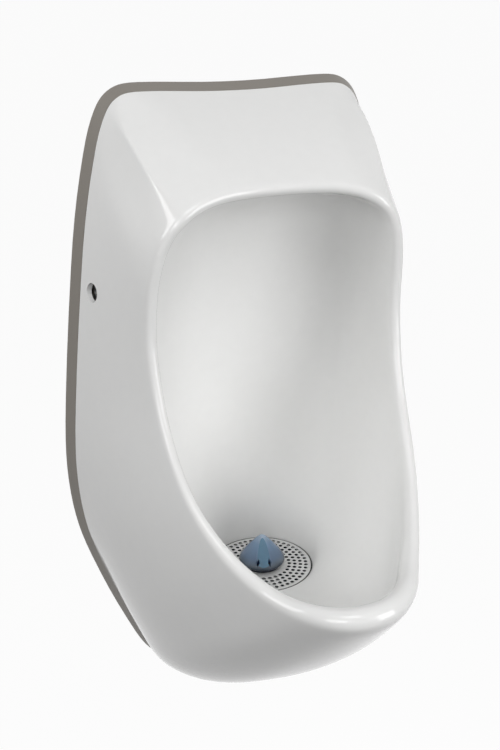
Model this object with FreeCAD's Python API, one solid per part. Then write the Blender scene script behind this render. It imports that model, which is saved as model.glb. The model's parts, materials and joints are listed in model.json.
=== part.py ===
# Wall-hung waterless urinal. Millimetres; X to the viewer's right, Y into the wall, Z up.
# The origin is the middle of the wall face; everything lies in front of the wall, at Y < 0.
import FreeCAD, Part
import os
from math import sin, cos, atan, pi, radians

os.makedirs("parts", exist_ok=True)
V = FreeCAD.Vector

# ------------------------------------------------------------------ driving sizes
WIDTH, HEIGHT, DEPTH = 400.0, 700.0, 360.0
PLATE_T = 14.0            # depth of the grey wall plate
PLATE_TAPER = 7.5         # how far its edge draws in from the wall to the front
PLATE_RIM = 7.0           # wall of the plate's edge at the front
PLATE_FLOOR = 4.0         # thickness of the plate against the wall
EDGE_GASKET_T = 1.2       # dark strip between plate and bowl
SKIN_T = 5.0              # wall of the bowl moulding
THROAT_R = 58.2           # bore that takes the trap cartridge
THROAT_WALL = 4.8
CUP_H = 44.5              # height of the cartridge cup under its seal
BACK_GAP = 9.0            # room between plate and basin behind the throat
TRAP_Z = -0.516 * HEIGHT / 2
GAP = 0.3                 # clearance between pieces that slide past each other
FIT = 0.05                # clearance of a screw in its thread
DRAIN_R = 20.0            # outside radius of the waste pipe
SCREW_R = 3.0             # side lock screws
SEAL_H = 3.0              # disc edge and rubber ring under it
GASKET_T = 1.5            # gasket on the drain flange
TRAP_Y = -(PLATE_T + EDGE_GASKET_T + BACK_GAP + SKIN_T + THROAT_R)
BACK_Y = -(PLATE_T + EDGE_GASKET_T)
FOOT_Z = TRAP_Z - SEAL_H - CUP_H + GASKET_T     # underside of the throat
LEDGE_Z = FOOT_Z - GASKET_T                     # where the cartridge stands
DRAIN_Z = LEDGE_Z - 32.0                        # axis of the waste pipe
# Stations run from 0 at the top centre to 32 at the bottom centre; 8 is the corner with the ridge.
STATIONS = (0, 1.8, 3.6, 5, 6.2, 7.2, 8, 8.8, 9.8, 11, 12.6, 14.4, 16.2, 18, 19.8, 21.4,
            22.8, 24.2, 25.6, 27, 28.3, 29.4, 30.4, 31.2, 32)
N = len(STATIONS) - 1
LAST = STATIONS[-1]
HW, HH = WIDTH / 2, HEIGHT / 2

# station, x / half width, z / half height: outline of the plate against the wall
OUTLINE = ((0, 0.0, 0.994), (2.5, 0.25, 0.997), (5, 0.50, 1.003), (6.6, 0.625, 0.994),
           (8, 0.705, 0.957), (9.4, 0.760, 0.890), (11, 0.803, 0.800), (14, 0.870, 0.600),
           (17, 0.922, 0.360), (20, 0.975, 0.055), (22, 0.994, -0.165), (24, 0.955, -0.375),
           (26, 0.845, -0.580), (28, 0.700, -0.785), (29.2, 0.590, -0.915),
           (30.3, 0.430, -0.985), (31.3, 0.19, -1.0), (32, 0.0, -1.0))
# station, x / half width, y / depth, z / half height: crest of the rolled lip
RIM = ((0, 0.0, -0.372, 0.746), (2.5, 0.16, -0.3735, 0.744), (5, 0.32, -0.382, 0.737),
       (6.6, 0.435, -0.397, 0.721), (8, 0.525, -0.4055, 0.691), (9.4, 0.595, -0.400, 0.643),
       (11, 0.6425, -0.386, 0.563), (14, 0.6675, -0.367, 0.429), (17, 0.671, -0.371, 0.306),
       (20, 0.660, -0.411, 0.166), (22, 0.640, -0.458, 0.077), (24, 0.600, -0.542, -0.034),
       (26, 0.522, -0.655, -0.144), (28, 0.402, -0.786, -0.216), (30, 0.235, -0.915, -0.228),
       (31, 0.12, -0.962, -0.227), (32, 0.0, -0.978, -0.226))
# station, lip radius, where the roll starts (degrees), how far the opening tips up (degrees)
ROLL = ((0, 0, 7.0, 38, 0), (8, 0, 7.0, 20, 0), (14, 0, 7.0, 22, 5), (20, 0, 6.5, 18, 30),
        (24, 0, 7.5, 5, 50), (28, 0, 11.0, -16, 62), (32, 0, 14.0, -30, 64))
# station, outward and forward pull on the skin near the plate, then near the lip
BELLY = ((0, 0, 2, 0, 4, 0), (8, 0, 2, 0, 8, 0), (12, 0, 2, 0, 8, 0), (16, 0, 2, 0, 4, 0), (20, 0, 4, 0, 4, 0),
         (24, 0, 14, 6, 12, 4), (28, 0, 49, 6, 25, 8), (32, 0, 77, 4, 34, 14))
# station, x / half width, y / depth, z / half height: the basin's back and floor guides
DEEP1 = ((0, 0.0, -0.028, 0.749), (5, 0.32, -0.033, 0.737), (8, 0.54, -0.050, 0.651),
         (11, 0.62, -0.067, 0.471), (14, 0.625, -0.083, 0.314), (17, 0.62, -0.117, 0.157),
         (20, 0.605, -0.183, 0.0), (22, 0.585, -0.267, -0.114), (24, 0.545, -0.394, -0.229),
         (26, 0.48, -0.550, -0.329), (28, 0.375, -0.708, -0.400), (30, 0.215, -0.856, -0.429),
         (32, 0.0, -0.917, -0.434))
DEEP2 = ((0, 0.0, -0.044, 0.257), (5, 0.20, -0.047, 0.229), (8, 0.31, -0.053, 0.157),
         (11, 0.39, -0.067, 0.029), (14, 0.44, -0.089, -0.114), (17, 0.47, -0.125, -0.257),
         (20, 0.48, -0.183, -0.357), (22, 0.48, -0.250, -0.409), (24, 0.46, -0.339, -0.443),
         (26, 0.41, -0.439, -0.463), (28, 0.32, -0.528, -0.480), (30, 0.18, -0.589, -0.491),
         (32, 0.0, -0.611, -0.494))
RIDGE = 0.75              # how sharp the two ridges are between plate and lip


ROLL_CORE = 3.0           # least radius left inside the roll
# rings of the surface grid: down the skin, round the roll and down the basin
SKIN_STEPS = (0, .07, .18, .32, .48, .64, .79, .92)
ROLL_STEPS = 5
BASIN_STEPS = (.08, .20, .36, .54, .72, .88, 1)
ROLL_ROWS = range(7, 14)
CORNER = (5, 8, 11)       # stations where the ridge's corner starts, peaks and ends
RIDGE_PULL = (1.0, 0.84, 0.42)

# bowl throat and its flange
FLANGE_R, FLANGE_T, SUMP_FLANGE_T = THROAT_R + 9.0, 5.0, 3.5
# side lock screws: the skin stands 168 mm out there
LOCK_Y, LOCK_Z = -0.104 * DEPTH, 0.429 * HEIGHT / 2
LUG_X, LUG_W = 0.755 * WIDTH / 2, 20.0
CUP_HOLE_R, CUP_DEEP, SCREW_SEAT = 10.0, 12.0, 2.5
HEAD_R, HEAD_H = 6.0, 3.8
# plate
WALL_HOLE_R, WALL_HOLE_X, WALL_HOLE_TOP, WALL_HOLE_LOW = 4.2, 110.0, 240.0, -170.0
DRAIN_HOLE_R = DRAIN_R + 7.0
RIB_Z, RIB_X, RIB_HALF, RIB_H = (205.0, 60.0, -130.0), 70.0, 130.0, 7.0
RAIL_HALF = 85.0
RAIL_TOP = HH - 23.0
# cartridge
DISC_R, DISC_T, CUP_R = THROAT_R - 1.8, 2.4, THROAT_R - 0.7
HOLE_R, HOLE_SIDES, HOLE_PITCH, HOLE_RINGS, FIRST_RING_R = 1.85, 4, 6.35, 4, 29.2
RIM_W, CUP_FLANGE = 5.5, 2.5
SNOUT_R, SNOUT_H, PIPE_R = 22.0, 12.0, 15.0
BELL_IN_R, BELL_OUT_R, BELL_H, BELL_DROP = 19.0, 22.5, 20.0, 17.0
CONE_R, CONE_H, CONE_LIFT, COLLAR_R = 25.5, 37.5, 5.0, 20.5
FACET_HALF, FACET_TURN = 17.0, -107.0
SLOT_UP, SLOT_W, SLOT_H = 8.5, 3.8, 10.0
# drain
SUMP_R, SUMP_MOUTH, STUB_END, COUPLING_L = 33.0, 40.0, TRAP_Y + 52.0, 22.0


# ------------------------------------------------------------------ helpers
def station(tab, s):
    """Smooth values at one station, mirrored at both ends so halves join smoothly."""
    rows = [(-tab[1][0], -tab[1][1]) + tab[1][2:]] + list(tab)
    rows.append((2 * tab[-1][0] - tab[-2][0], -tab[-2][1]) + tab[-2][2:])
    k = 1
    while k < len(rows) - 3 and s > rows[k + 1][0]:
        k += 1
    a, b = rows[k], rows[k + 1]
    h = b[0] - a[0]
    t = (s - a[0]) / h
    out = []
    for c in range(1, len(a)):
        def slope(p, q, r):
            h0, h1 = q[0] - p[0], r[0] - q[0]
            return ((q[c] - p[c]) / h0 * h1 + (r[c] - q[c]) / h1 * h0) / (h0 + h1) * h
        m0, m1 = slope(rows[k - 1], a, b), slope(a, b, rows[k + 2])
        out.append((2 * t**3 - 3 * t**2 + 1) * a[c] + (t**3 - 2 * t**2 + t) * m0
                   + (3 * t**2 - 2 * t**3) * b[c] + (t**3 - t**2) * m1)
    return out


def both(half):
    """Mirror a half ring (top centre to bottom centre) into a closed one."""
    return list(half) + [V(-p.x, p.y, p.z) for p in half[-2:0:-1]]


def coarse(ring):
    """Every second point, for faces that nobody sees."""
    return ring[::2]


def around(pts, i):
    t = pts[(i + 1) % len(pts)] - pts[i - 1]
    return t.normalize()


def outline(inset, y):
    pts = both([V(HW * x, y, HH * z) for x, z in (station(OUTLINE, s) for s in STATIONS)])
    return [p + V(around(pts, i).z, 0, -around(pts, i).x) * inset for i, p in enumerate(pts)]


def circle_ring(r, z):
    turns = [pi * s / LAST for s in STATIONS]
    return both([V(r * sin(a), TRAP_Y + r * cos(a), z) for a in turns])


def poles(ring):
    """Control points of the closed cubic that passes through a ring."""
    out, n = list(ring), len(ring)
    for _ in range(8):
        out = [out[i] + ring[i] - (out[i - 1] + out[i] * 4 + out[(i + 1) % n]) * (1 / 6.0) for i in range(n)]
    return out


def ring_wire(pts):
    c = Part.BSplineCurve()
    c.buildFromPolesMultsKnots(poles(pts), [1] * (len(pts) + 1), list(range(len(pts) + 1)), True, 3)
    return Part.Wire([c.toShape()])


def sheet(rows):
    """One smooth closed sheet through the rings; two rings make a ruled band."""
    m, n = len(rows), len(rows[0])
    deg = 1 if m == 2 else 3
    um = [deg + 1] + [1] * (m - deg - 1) + [deg + 1]
    s = Part.BSplineSurface()
    s.buildFromPolesMultsKnots([poles(row) for row in rows], um, [1] * (n + 1), list(range(len(um))), list(range(n + 1)),
                               False, True, deg, 3)
    return s.toShape()


def flat(a, b=None):
    wires = [ring_wire(a)] + ([ring_wire(b)] if b else [])
    return Part.makeFace(wires, "Part::FaceMakerBullseye")


def closed(faces):
    sh = Part.makeShell(faces)
    sh.sewShape()
    solid = Part.makeSolid(sh)
    if solid.Volume < 0:
        solid.reverse()
    return solid


def bez(p, t):
    s = 1 - t
    return p[0] * s**3 + p[1] * (3 * s * s * t) + p[2] * (3 * s * t * t) + p[3] * t**3


def turned(profile, at, axis=None):
    """Solid of revolution: (radius, height) points about an axis through at, upright by default."""
    pts = [V(r, 0, z) for r, z in profile]
    solid = Part.Face(Part.makePolygon(pts + pts[:1])).revolve(V(0, 0, 0), V(0, 0, 1), 360)
    solid.Placement = FreeCAD.Placement(at, FreeCAD.Rotation(V(0, 0, 1), axis or V(0, 0, 1)))
    return solid


def rod(r, length, at, axis):
    return Part.makeCylinder(r, length, at, axis)


def tube(r0, r1, length, at, axis):
    return turned(((r0, 0), (r1, 0), (r1, length), (r0, length)), at, axis)


def prism(sides, r, length, at, axis, turn=0.0):
    pts = [V(r * cos(turn + 2 * pi * k / sides), r * sin(turn + 2 * pi * k / sides), 0) for k in range(sides)]
    solid = Part.Face(Part.makePolygon(pts + pts[:1])).extrude(V(0, 0, length))
    solid.Placement = FreeCAD.Placement(at, FreeCAD.Rotation(V(0, 0, 1), axis))
    return solid


def block(x0, x1, y0, y1, z0, z1):
    return Part.makeBox(x1 - x0, y1 - y0, z1 - z0, V(x0, y0, z0))


def turn_about_trap(shape, deg):
    out = shape.copy()
    out.rotate(V(0, 0, 0), V(0, 0, 1), deg)
    out.translate(V(0, TRAP_Y, 0))
    return out


def wall_holes():
    return [(sx * WALL_HOLE_X, z) for z in (WALL_HOLE_TOP, WALL_HOLE_LOW) for sx in (-1, 1)]


def save(shape, name):
    shape.exportStep("parts/%s.step" % name)


# ------------------------------------------------------------------ bowl moulding
def meet(p, u, q, v):
    """Point nearest to two lines."""
    w = p - q
    a, b, c, d, e = u.dot(u), u.dot(v), v.dot(v), u.dot(w), v.dot(w)
    k = a * c - b * b
    s, t = (b * e - c * d) / k, (a * e - b * d) / k
    return ((p + u * s) + (q + v * t)) * 0.5


def bowl_rows():
    back = outline(PLATE_TAPER, BACK_Y)
    crest = both([V(HW * x, DEPTH * y, HH * z) for x, y, z in (station(RIM, s) for s in STATIONS)])
    seat = circle_ring(THROAT_R, TRAP_Z)
    cols = []
    for i in range(2 * N):
        k = STATIONS[min(i, 2 * N - i)]
        side = -1 if i > N else 1
        _, r, start, tip = station(ROLL, k)
        _, b0, f0, b1, f1 = station(BELLY, k)
        t = around(crest, i)
        nose = V(0, -cos(radians(tip)), sin(radians(tip)))
        nose = (nose - t * nose.dot(t)).normalize()
        out = nose.cross(t).normalize()
        mid = crest[i] - nose * r
        tb = around(back, i)
        away = V(-tb.z, 0, tb.x)
        p0 = back[i]
        p3 = mid + (out * cos(radians(start)) + nose * sin(radians(start))) * r
        c = (p3 - p0) * (1 / 3.0)
        hull = (p0, p0 + c + away * b0 + V(0, -f0, 0), p3 - c + away * b1 + V(0, -f1, 0), p3)
        col = [bez(hull, s) for s in SKIN_STEPS]
        for s in range(ROLL_STEPS):
            a = radians(start + (180 - start) * s / (ROLL_STEPS - 1.0))
            col.append(mid + (out * cos(a) + nose * sin(a)) * (r * 1.04))
        g = [V(side * HW * x, DEPTH * y, HH * z) for x, y, z in (station(DEEP1, k), station(DEEP2, k))]
        hull = (mid - out * r, g[0], g[1], seat[i])
        col += [bez(hull, s) for s in BASIN_STEPS]
        cols.append(col)
    rows = [[c[j] for c in cols] for j in range(len(cols[0]))]
    # draw the corner stations in to a ridge that runs from the plate's corner to the lip
    start, mid, end = (STATIONS.index(c) for c in CORNER)
    for row, f in list(zip(rows, SKIN_STEPS))[1:]:
        fade = min(1.0, 4.0 * f, 3.0 * (1 - f))
        for mirror in (1, -1):
            def at(k):
                return row[(mirror * k) % (2 * N)]
            a, b = at(start), at(end)
            tip = meet(a, a - at(start - 1), b, b - at(end + 1))
            tip = at(mid) + (tip - at(mid)) * (RIDGE * (1 - f) ** 0.7 * fade)
            for k in range(start + 1, end):
                w = RIDGE_PULL[abs(k - mid)]
                goal = (a if k < mid else b) * (1 - w) + tip * w
                row[(mirror * k) % (2 * N)] = at(k) + (goal - at(k)) * fade
    return rows


def blend(rows, j, i):
    """Where the sheet passes at one grid point."""
    return (rows[j - 1][i] + rows[j][i] * 4 + rows[j + 1][i]) * (1 / 6.0)


def behind(rows, sense):
    """The hidden side of the moulding, one wall thickness in from the sheet, with fewer points around."""
    m, n = len(rows), len(rows[0])
    goal = [outline(PLATE_TAPER + SKIN_T, BACK_Y)]
    for j in range(1, m - 1):
        ring = []
        for i in range(n):
            nv = (rows[j + 1][i] - rows[j - 1][i]).cross(rows[j][(i + 1) % n] - rows[j][i - 1])
            roll = station(ROLL, STATIONS[min(i, n - i)])[1]
            wall = min(SKIN_T, roll - ROLL_CORE) if j in ROLL_ROWS else SKIN_T
            ring.append(blend(rows, j, i) + nv.normalize() * (wall * sense))
        goal.append(ring)
    goal.append(circle_ring(THROAT_R + THROAT_WALL, TRAP_Z - SKIN_T - 1.0))
    goal = [coarse(ring) for ring in goal]
    out = [list(ring) for ring in goal]
    for _ in range(6):
        fixed = [[out[j][i] + goal[j][i] - blend(out, j, i) for i in range(n // 2)] for j in range(1, m - 1)]
        out = [goal[0]] + fixed + [goal[-1]]
    return out


def bowl_shell():
    rows = bowl_rows()
    side = (rows[4][N // 2] - rows[2][N // 2]).cross(rows[3][N // 2 + 1] - rows[3][N // 2 - 1])
    hid = behind(rows, -1.0 if side.x > 0 else 1.0)
    inner, wall = THROAT_R, THROAT_R + THROAT_WALL
    bore = circle_ring(inner, FOOT_Z)
    rim, rim_top = coarse(circle_ring(FLANGE_R, FOOT_Z)), coarse(circle_ring(FLANGE_R, FOOT_Z + FLANGE_T))
    neck = coarse(circle_ring(wall, FOOT_Z + FLANGE_T))
    shell = closed([sheet(rows), sheet([rows[-1], bore]), flat(rim, bore), sheet([rim, rim_top]),
                    flat(rim_top, neck), sheet([neck, hid[-1]]), sheet(hid), flat(rows[0], hid[0])])
    return shell.cut([rod(CUP_HOLE_R, 60.0, V(sx * (LUG_X + 2.0), LOCK_Y, LOCK_Z), V(sx, 0, 0))
                      for sx in (-1, 1)])


# ------------------------------------------------------------------ wall plate and what it carries
def wall_plate():
    face, front = outline(0, 0), outline(PLATE_TAPER, -PLATE_T)
    rim = coarse(outline(PLATE_TAPER + PLATE_RIM, -PLATE_T))
    floor = coarse(outline(PLATE_TAPER + PLATE_RIM, -PLATE_FLOOR))
    plate = closed([flat(face), sheet([face, front]), flat(front, rim), sheet([rim, floor]), flat(floor)])
    extra = []
    for z in RIB_Z:
        extra.append(block(-RIB_HALF, RIB_HALF, -PLATE_FLOOR - RIB_H, -PLATE_FLOOR, z - 1.5, z + 1.5))
    for sx in (-1, 1):
        extra.append(block(sx * RIB_X - 1.5, sx * RIB_X + 1.5, -PLATE_FLOOR - RIB_H, -PLATE_FLOOR,
                           RIB_Z[-1], RIB_Z[0]))
    plate = plate.fuse(extra)
    holes = [rod(WALL_HOLE_R, 4 * PLATE_T, V(x, 2 * PLATE_T, z), V(0, -1, 0)) for x, z in wall_holes()]
    holes.append(rod(DRAIN_HOLE_R, 4 * PLATE_T, V(0, 2 * PLATE_T, DRAIN_Z), V(0, -1, 0)))
    return plate.cut(holes)


def edge_gasket():
    a, b = PLATE_TAPER + 1.0, PLATE_TAPER + SKIN_T - 0.2
    rings = [outline(a, -PLATE_T), outline(a, BACK_Y), coarse(outline(b, BACK_Y)), coarse(outline(b, -PLATE_T))]
    return closed([sheet(rings[0:2]), flat(rings[1], rings[2]), sheet(rings[2:4]), flat(rings[0], rings[3])])


def hanger_rail():
    back = block(-RAIL_HALF, RAIL_HALF, -PLATE_FLOOR - 2.0, -PLATE_FLOOR, RAIL_TOP - 34.0, RAIL_TOP)
    shelf = block(-RAIL_HALF, RAIL_HALF, BACK_Y - 9.0, -PLATE_FLOOR, RAIL_TOP - 2.0, RAIL_TOP)
    lip = block(-RAIL_HALF, RAIL_HALF, BACK_Y - 9.0, BACK_Y - 7.0, RAIL_TOP - 10.0, RAIL_TOP)
    return back.fuse([shelf, lip])


def lock_lug(sx):
    """Bracket on the plate that takes one side screw."""
    x0, x1 = LUG_X - LUG_W, LUG_X
    body = block(min(sx * x0, sx * x1), max(sx * x0, sx * x1), LOCK_Y - 13.0, -PLATE_FLOOR,
                 LOCK_Z - 14.0, LOCK_Z + 14.0)
    relief = block(min(sx * (x0 - 1), sx * (x1 - 5)), max(sx * (x0 - 1), sx * (x1 - 5)),
                   LOCK_Y + 12.0, -PLATE_FLOOR - 3.0, LOCK_Z - 15.0, LOCK_Z + 15.0)
    bore = rod(SCREW_R + FIT, LUG_W + 2.0, V(sx * (x1 + 1.0), LOCK_Y, LOCK_Z), V(-sx, 0, 0))
    return body.cut([relief, bore])


def screw_cup(sx):
    """Dark well in the side hole of the bowl; the lock screw clamps it to the bracket."""
    r = CUP_HOLE_R - GAP
    prof = ((SCREW_R + GAP, 0), (r, 0), (r, CUP_DEEP), (HEAD_R + 1.0, SCREW_SEAT), (SCREW_R + GAP, SCREW_SEAT))
    return turned(prof, V(sx * LUG_X, LOCK_Y, LOCK_Z), V(sx, 0, 0))


def side_screw(sx):
    at = V(sx * (LUG_X + SCREW_SEAT), LOCK_Y, LOCK_Z)
    head = turned(((0, 0), (HEAD_R, 0), (HEAD_R - 1.8, HEAD_H), (0, HEAD_H)), at, V(sx, 0, 0))
    key = prism(6, 2.4, 3.0, at + V(sx * (HEAD_H - 2.4), 0, 0), V(sx, 0, 0))
    return head.cut(key).fuse(rod(SCREW_R, SCREW_SEAT + LUG_W - 3.0, at, V(-sx, 0, 0)))


# ------------------------------------------------------------------ trap cartridge
def strainer_disc():
    z = TRAP_Z
    disc = turned(((0, z - DISC_T), (CUP_R - RIM_W - GAP, z - DISC_T), (CUP_R - RIM_W - GAP, z - SEAL_H),
                   (DISC_R, z - SEAL_H), (DISC_R, z), (0, z)), V(0, TRAP_Y, 0))
    holes = []
    for k in range(HOLE_RINGS):
        r = FIRST_RING_R + k * HOLE_PITCH
        count = int(round(2 * pi * r / HOLE_PITCH))
        for m in range(count):
            a = 2 * pi * m / count
            at = V(r * sin(a), TRAP_Y + r * cos(a), z - DISC_T - 1.0)
            holes.append(prism(HOLE_SIDES, HOLE_R, DISC_T + 2.0, at, V(0, 0, 1), -a))
    return disc.cut(Part.makeCompound(holes))


def disc_seal_ring():
    r0, r1 = DISC_R + 0.1, THROAT_R - GAP
    return tube(r0, r1, SEAL_H - 0.5, V(0, TRAP_Y, TRAP_Z - SEAL_H), V(0, 0, 1))


def trap_cup():
    """Cup with a flange over its ring, a standpipe with guide fins in the middle and a snout below."""
    top, base, w = TRAP_Z - SEAL_H, LEDGE_Z, 2.5
    neck = CUP_R - RIM_W
    cup = turned(((neck, top), (CUP_R, top), (CUP_R, top - CUP_FLANGE), (neck + w, top - CUP_FLANGE),
                  (neck + w, base), (SNOUT_R, base), (SNOUT_R, base - SNOUT_H), (PIPE_R - w, base - SNOUT_H),
                  (PIPE_R - w, top - BELL_DROP), (PIPE_R, top - BELL_DROP), (PIPE_R, base + w), (neck, base + w)),
                 V(0, TRAP_Y, 0))
    fin = block(PIPE_R - 1.0, BELL_IN_R - GAP, -1.0, 1.0, base + 1.0, top - BELL_DROP - 5.0)
    return cup.fuse([turn_about_trap(fin, 90 * k + 45) for k in range(4)])


def cup_oring():
    """Square ring under the cup's flange; it bears on the wall of the throat."""
    top = TRAP_Z - SEAL_H - CUP_FLANGE
    r0 = CUP_R - RIM_W + 2.5
    return tube(r0, THROAT_R - GAP, 3.0, V(0, TRAP_Y, top - 3.0), V(0, 0, 1))


def float_bell():
    """Inverted bell that closes the standpipe; it floats up and lets the liquid out."""
    roof = TRAP_Z - SEAL_H - BELL_DROP
    low = roof - BELL_H
    prof = ((BELL_IN_R, low), (BELL_OUT_R, low), (BELL_OUT_R - 2.0, roof + 2.0), (0, roof + 2.0), (0, roof),
            (BELL_IN_R, roof))
    return turned(prof, V(0, TRAP_Y, 0))


def outlet_valve():
    """Soft lips that close the snout against drain air."""
    top = LEDGE_Z - SNOUT_H
    return turned(((PIPE_R, top), (SNOUT_R - 3.0, top), (1.0, top - 12.0)), V(0, TRAP_Y, 0))


def cone_collar():
    return rod(COLLAR_R, CONE_LIFT, V(0, TRAP_Y, TRAP_Z), V(0, 0, 1))


def care_block():
    return rod(11.0, 14.0, V(0, TRAP_Y, TRAP_Z + CONE_LIFT), V(0, 0, 1))


def trap_cone():
    """Hollow cap with one flat facet, whose edges run down into two diamond slots."""
    z, r, h, w = TRAP_Z + CONE_LIFT, CONE_R, CONE_H - CONE_LIFT, 1.8
    outer = [(r - 1.4, z), (r, z + 1.5), (0.5 * r + 2.8, z + 0.5 * h + 0.8), (2.4, z + h - 0.8), (0, z + h)]
    inner = [(0, z + h - w - 1.5), (r - w - 0.6, z + 2.0), (COLLAR_R - 4.0, z + 2.0), (COLLAR_R - 4.0, z)]
    cone = turned(outer + inner, V(0, 0, 0))
    half = radians(FACET_HALF)
    slope = (r - 3.4) / (h - 3.1)
    near = r * cos(half) + 0.5
    facet = Part.makeBox(20, 60, 60, V(near, -30, z - 8))
    facet.rotate(V(near, 0, z + 1.5), V(0, 1, 0), -degrees_of(slope * cos(half)))
    slots = [spin(diamond(z + SLOT_UP, r - slope * SLOT_UP, slope), sgn * FACET_HALF) for sgn in (-1, 1)]
    for tool in [facet] + slots:
        cone = cone.cut(tool)
    cone.rotate(V(0, 0, 0), V(0, 0, 1), FACET_TURN)
    cone.translate(V(0, TRAP_Y, 0))
    return cone


def degrees_of(slope):
    return atan(slope) * 180 / pi


def spin(shape, deg):
    out = shape.copy()
    out.rotate(V(0, 0, 0), V(0, 0, 1), deg)
    return out


def diamond(z, r, slope):
    """A slot that lies along the cone, four-sided, cut square through its wall."""
    up = V(-slope, 0, 1).normalize()
    out = V(1, 0, slope).normalize()
    at = V(r, 0, z) - out * 3.5
    pts = [at + up * SLOT_H * 0.5, at + V(0, SLOT_W * 0.5, 0), at - up * SLOT_H * 0.5, at - V(0, SLOT_W * 0.5, 0)]
    return Part.Face(Part.makePolygon(pts + pts[:1])).extrude(out * 8.0)


# ------------------------------------------------------------------ drain under the bowl
def sump_gasket():
    return tube(THROAT_R + 0.4, FLANGE_R - 0.5, GASKET_T, V(0, TRAP_Y, LEDGE_Z), V(0, 0, 1))


def drain_sump():
    """Funnel below the throat with a side outlet towards the wall."""
    z, t = LEDGE_Z, SUMP_FLANGE_T
    low = DRAIN_Z - DRAIN_R - 3.0
    outer = turned(((0, z), (FLANGE_R, z), (FLANGE_R, z - t), (SUMP_MOUTH + t, z - t), (SUMP_R, low), (0, low)),
                   V(0, TRAP_Y, 0))
    stub = rod(DRAIN_R, STUB_END - TRAP_Y, V(0, TRAP_Y, DRAIN_Z), V(0, 1, 0))
    inner = turned(((0, z + 1), (SUMP_MOUTH, z + 1), (SUMP_R - t, low + t), (0, low + t)), V(0, TRAP_Y, 0))
    bore = rod(DRAIN_R - 2.5, STUB_END - TRAP_Y + 5.0, V(0, TRAP_Y, DRAIN_Z), V(0, 1, 0))
    return outer.fuse(stub).cut([inner, bore])


def flange_clamp():
    """Band that holds the funnel's flange against the throat's."""
    low, high = LEDGE_Z - SUMP_FLANGE_T, FOOT_Z + FLANGE_T
    return tube(FLANGE_R + GAP, FLANGE_R + GAP + 1.4, high - low, V(0, TRAP_Y, low), V(0, 0, 1))


def outlet_pipe():
    return tube(DRAIN_R - 2.5, DRAIN_R, -(STUB_END + 2.0), V(0, STUB_END + 2.0, DRAIN_Z), V(0, 1, 0))


def pipe_coupling():
    return tube(DRAIN_R + GAP, DRAIN_R + 3.5, COUPLING_L, V(0, STUB_END - 8.0, DRAIN_Z), V(0, 1, 0))


def wall_seal():
    prof = ((DRAIN_R + GAP, 1.0), (DRAIN_HOLE_R - GAP, 1.0), (DRAIN_HOLE_R - GAP, 8.0), (DRAIN_R + GAP, 11.0))
    return turned(prof, V(0, 0, DRAIN_Z), V(0, -1, 0))


# ------------------------------------------------------------------ write every piece
save(bowl_shell(), "bowl_shell")
save(wall_plate(), "wall_plate")
save(edge_gasket(), "edge_gasket")
save(hanger_rail(), "hanger_rail")
for side, sx in (("left", -1), ("right", 1)):
    save(lock_lug(sx), "lock_lug_" + side)
    save(screw_cup(sx), "screw_cup_" + side)
    save(side_screw(sx), "side_screw_" + side)
save(strainer_disc(), "strainer_disc")
save(disc_seal_ring(), "disc_seal_ring")
save(trap_cup(), "trap_cup")
save(cup_oring(), "cup_oring")
save(float_bell(), "float_bell")
save(outlet_valve(), "outlet_valve")
save(cone_collar(), "cone_collar")
save(care_block(), "care_block")
save(trap_cone(), "trap_cone")
save(sump_gasket(), "sump_gasket")
save(drain_sump(), "drain_sump")
save(flange_clamp(), "flange_clamp")
save(outlet_pipe(), "outlet_pipe")
save(pipe_coupling(), "pipe_coupling")
save(wall_seal(), "wall_seal")
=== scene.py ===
# Visual model of a wall-hung waterless urinal. Metres; X to the viewer's right, Y into the wall, Z up.
import bpy
import bmesh
import json
import numpy as np
from math import sin, cos, pi, radians
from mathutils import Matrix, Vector
from mathutils.bvhtree import BVHTree
from mathutils.geometry import tessellate_polygon


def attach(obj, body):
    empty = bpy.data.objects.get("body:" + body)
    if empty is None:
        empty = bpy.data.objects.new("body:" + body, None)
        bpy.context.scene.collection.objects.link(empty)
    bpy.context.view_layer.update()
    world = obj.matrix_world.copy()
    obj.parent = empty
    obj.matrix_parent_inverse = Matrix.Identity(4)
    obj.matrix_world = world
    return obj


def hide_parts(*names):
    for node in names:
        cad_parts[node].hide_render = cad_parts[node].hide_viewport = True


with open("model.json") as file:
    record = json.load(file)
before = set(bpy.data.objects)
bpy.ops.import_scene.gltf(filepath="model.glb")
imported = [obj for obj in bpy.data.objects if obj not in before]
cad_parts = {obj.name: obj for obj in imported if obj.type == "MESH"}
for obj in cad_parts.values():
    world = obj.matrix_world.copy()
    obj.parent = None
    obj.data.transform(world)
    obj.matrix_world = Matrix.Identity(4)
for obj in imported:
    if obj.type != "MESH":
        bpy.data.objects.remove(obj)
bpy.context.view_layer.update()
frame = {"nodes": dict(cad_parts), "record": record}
MM = 0.001

# ------------------------------------------------------------------ sizes, in mm
# Where pieces meet, these are the solids' own. The bowl's depth, ridges and lip, the strainer's
# holes and the cone's shape are not: they were fitted to the photograph after the solids were made.
WIDTH, HEIGHT, DEPTH = 400.0, 700.0, 352.0
HW, HH = WIDTH / 2, HEIGHT / 2
# the edge strip between plate and bowl is a dark strip set where that gap lies in shadow: painted shade
PLATE_T, PLATE_TAPER, EDGE_SHADE_STRIP_T = 14.0, 7.5, 1.2
SKIN_T, THROAT_R, THROAT_WALL, BACK_GAP = 5.0, 58.2, 4.8, 9.0
TRAP_Z = -0.516 * HH
TRAP_Y = -(PLATE_T + EDGE_SHADE_STRIP_T + BACK_GAP + SKIN_T + THROAT_R)
BACK_Y = -(PLATE_T + EDGE_SHADE_STRIP_T)
SEAL_H, CUP_H, GASKET_T = 3.0, 44.5, 1.5
FOOT_Z = TRAP_Z - SEAL_H - CUP_H + GASKET_T
FLANGE_R, FLANGE_T = THROAT_R + 9.0, 5.0
LOCK_Y, LOCK_Z = -37.44, 0.429 * HH          # axis of the side screws
LUG_X, HOLE_R = 0.755 * HW, 10.0
DISC_R, DISC_T, SIEVE_R, SIEVE_PITCH, FIRST_RING_R = THROAT_R - 1.8, 2.4, 2.1, 6.35, 31.6
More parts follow.
